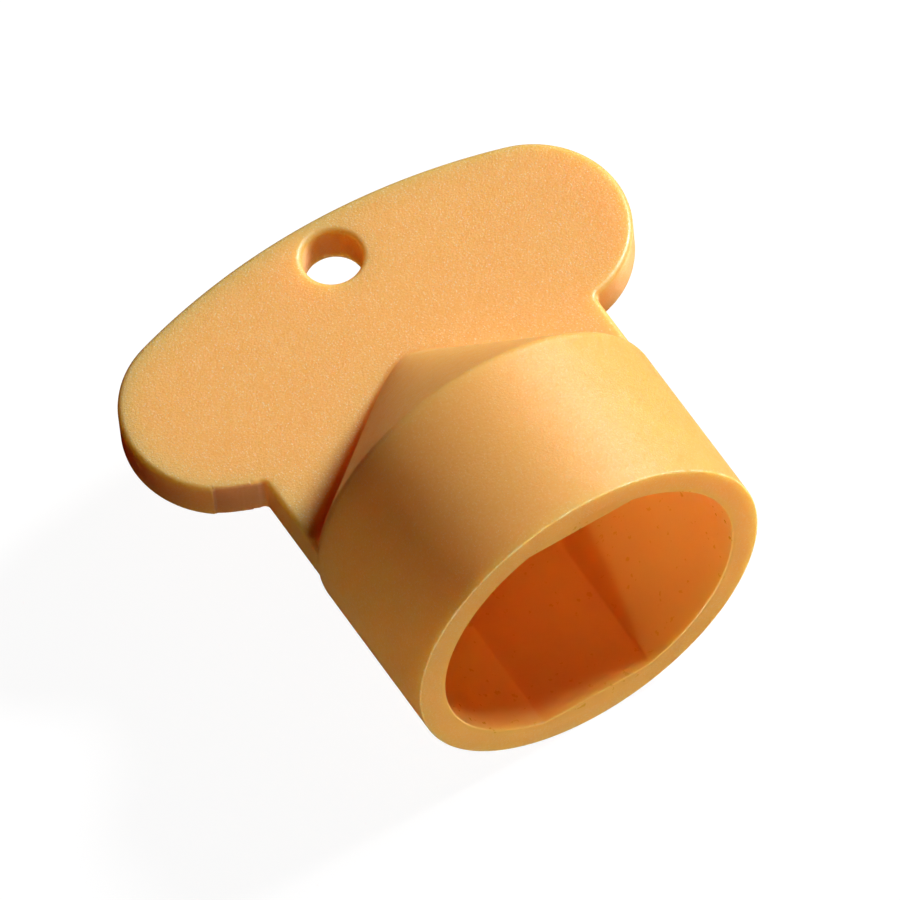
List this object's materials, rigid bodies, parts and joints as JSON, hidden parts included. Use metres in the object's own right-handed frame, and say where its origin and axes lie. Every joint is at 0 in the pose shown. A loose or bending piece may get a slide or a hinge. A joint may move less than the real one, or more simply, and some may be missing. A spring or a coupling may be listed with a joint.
{
  "type": "moulded service key",
  "caption": "Amber plastic service key: flat winged grip with a hanging hole, growing out of a round cup with a double-D socket.",
  "frame": {"origin": "on the surface the key lies on, under the middle of its length and width", "axes": "+Y along the cup's axis from the open mouth to the top of the wing, +X across the wing, +Z square to the wing's flat face"},
  "size_m": [0.0408, 0.0382, 0.0283],
  "materials": {
    "amber_plastic": "translucent amber moulding with a fine spark-eroded surface"
  },
  "bodies": {
    "root": {"key_body": "amber_plastic"}
  },
  "joints": []
}
